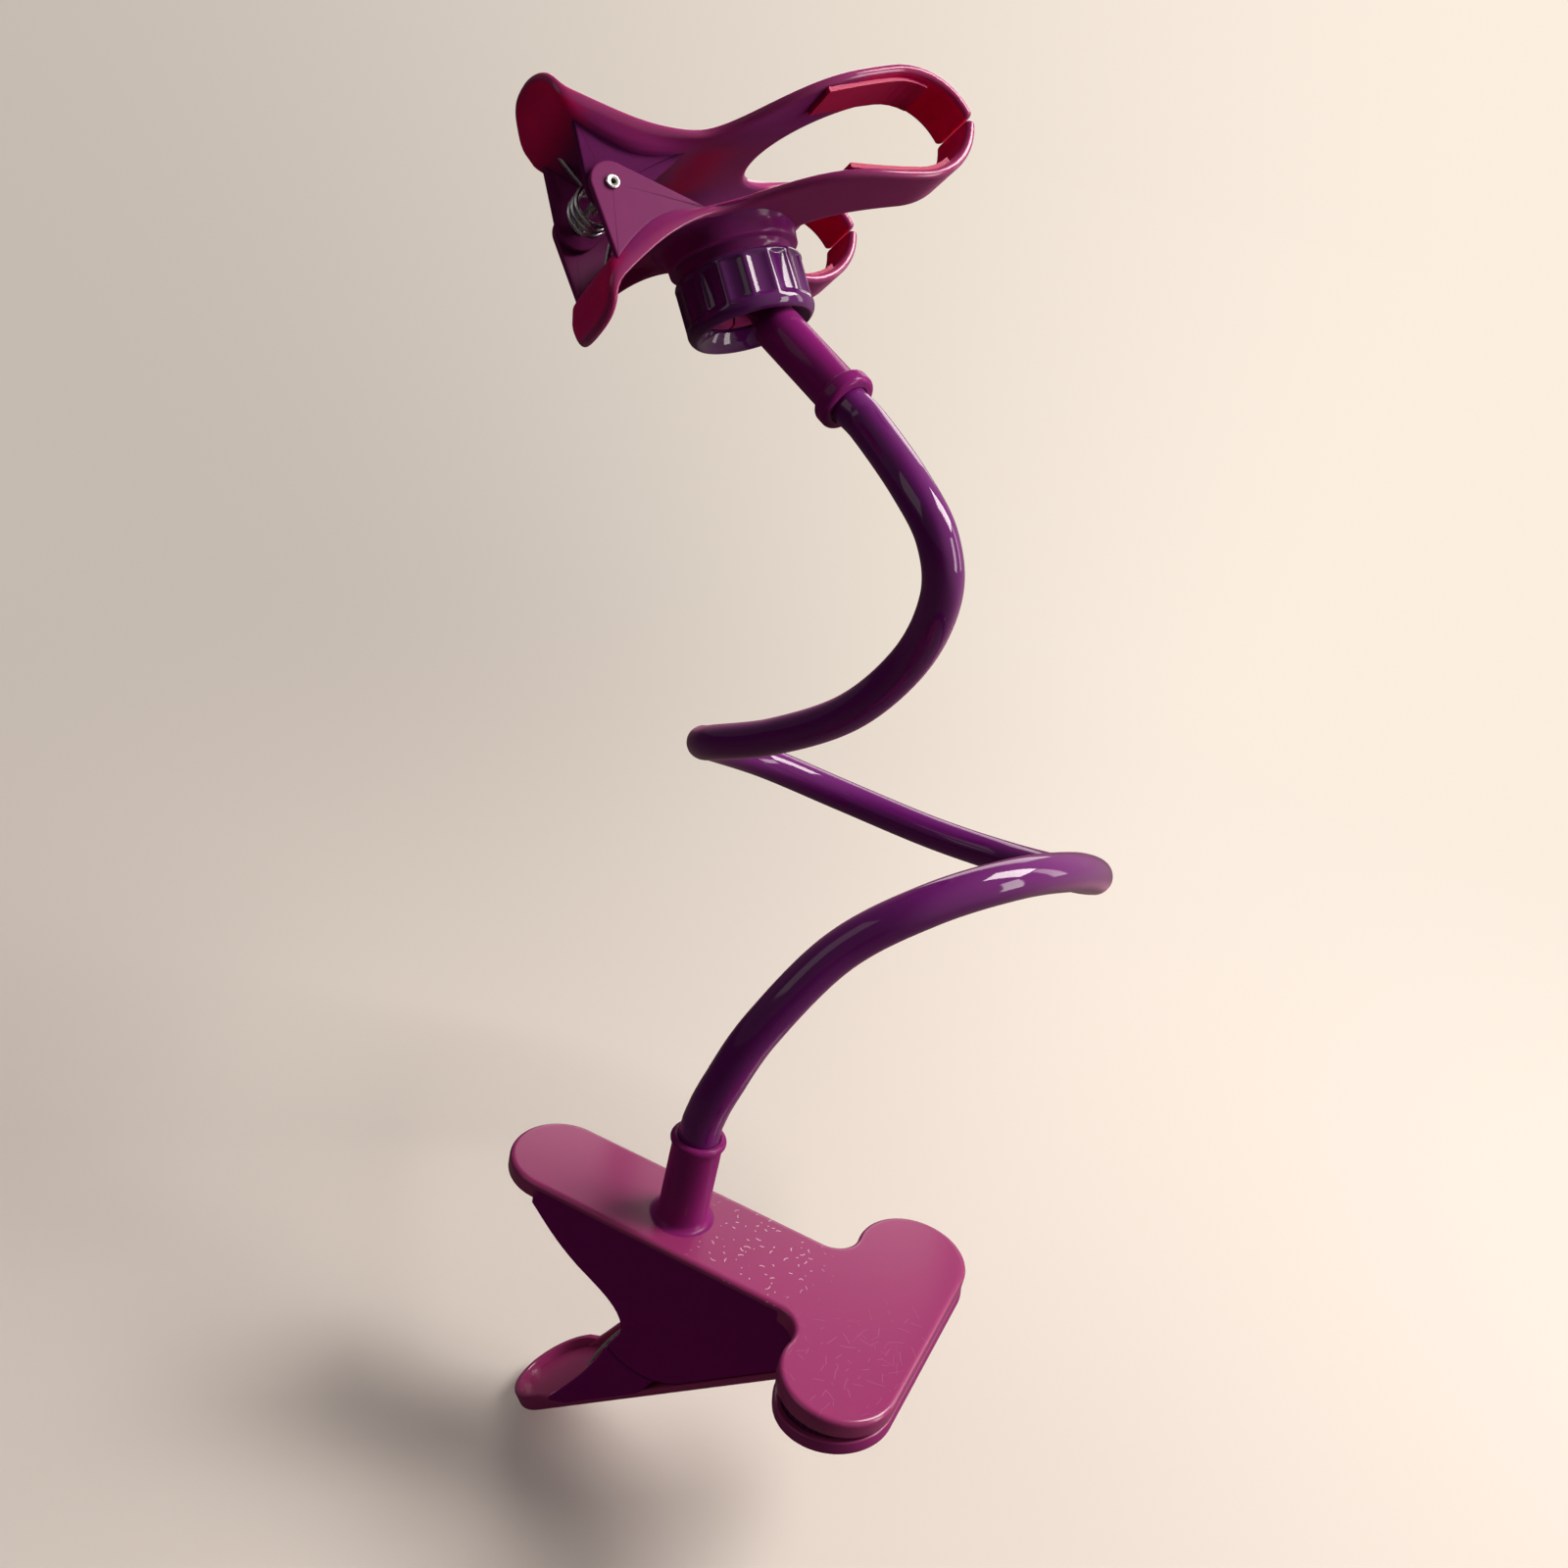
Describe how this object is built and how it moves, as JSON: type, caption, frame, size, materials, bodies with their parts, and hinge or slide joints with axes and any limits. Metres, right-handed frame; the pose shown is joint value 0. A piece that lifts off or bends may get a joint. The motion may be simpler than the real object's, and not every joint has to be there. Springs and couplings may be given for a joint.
{
  "type": "phone holder",
  "caption": "Flexible-arm phone holder with a sprung table clip, a bent gooseneck arm and a ball-jointed spring clamp with forked jaws.",
  "frame": {"origin": "centre of the table clip's grip, midway between its two pads at their front edges' height", "axes": "+Z is the normal of the clip's upper plate and points up when the clip is on a table; +X points out of the clip's mouth; Y runs along the clip's hinge pin"},
  "size_m": [0.2353, 0.2299, 0.4084],
  "materials": {
    "clip_plastic": "glossy plum",
    "clamp_plastic": "glossy translucent crimson purple",
    "arm_sheath": "glossy deep violet",
    "stud_plastic": "glossy purple",
    "nut_plastic": "glossy dark violet",
    "pad_rubber": "matt plum",
    "steel": "plain",
    "rivet_steel": "bright",
    "spring_steel": "drawn wire",
    "core_aluminium": "drawn rod"
  },
  "bodies": {
    "root": {"base_upper_jaw": "clip_plastic", "base_upper_pad": "pad_rubber", "base_hinge_pin": "steel", "base_spring": "spring_steel", "arm_sheath": "arm_sheath", "arm_core": "core_aluminium", "arm_fixing_screw": "steel", "arm_screw_washer": "steel"},
    "clip_lower": {"base_lower_jaw": "clip_plastic", "base_lower_pad": "pad_rubber"},
    "stud": {"ball_stud": "stud_plastic"},
    "nut": {"lock_nut": "nut_plastic"},
    "rear_clamp": {"rear_jaw": "clamp_plastic", "clamp_hinge_rivet": "rivet_steel", "clamp_spring": "spring_steel", "rear_pad_near": "pad_rubber", "rear_pad_far": "pad_rubber"},
    "front_clamp": {"front_jaw": "clamp_plastic", "front_pad_near": "pad_rubber", "front_pad_far": "pad_rubber"}
  },
  "joints": [
    {"name": "clip_jaw", "type": "hinge", "parent": "root", "child": "clip_lower", "pos_m": [-0.06, 0, -0.022], "axis": [0, 1, 0], "range_deg": [0, 45], "stiffness_Nm_per_rad": 1.5, "springref_deg": -45.84, "deforming": ["base_spring"]},
    {"name": "stud_turn", "type": "hinge", "parent": "root", "child": "stud", "pos_m": [-0.1465, 0.101, 0.25], "axis": [0.8787, -0.2855, -0.3827], "continuous": true},
    {"name": "head_tilt", "type": "hinge", "parent": "stud", "child": "nut", "pos_m": [-0.1465, 0.101, 0.25], "axis": [0.2998, 0.9537, -0.0232], "range_deg": [-60.5, 1.2]},
    {"name": "head_turn", "type": "hinge", "parent": "nut", "child": "rear_clamp", "pos_m": [-0.1465, 0.101, 0.25], "axis": [0.5786, -0.2011, -0.7904], "continuous": true},
    {"name": "clamp_jaw", "type": "hinge", "parent": "rear_clamp", "child": "front_clamp", "pos_m": [-0.18464, 0.07231, 0.26417], "axis": [0.6151, -0.5287, 0.5849], "range_deg": [0, 45], "stiffness_Nm_per_rad": 0.6, "springref_deg": -40.11, "deforming": ["clamp_spring"]}
  ]
}
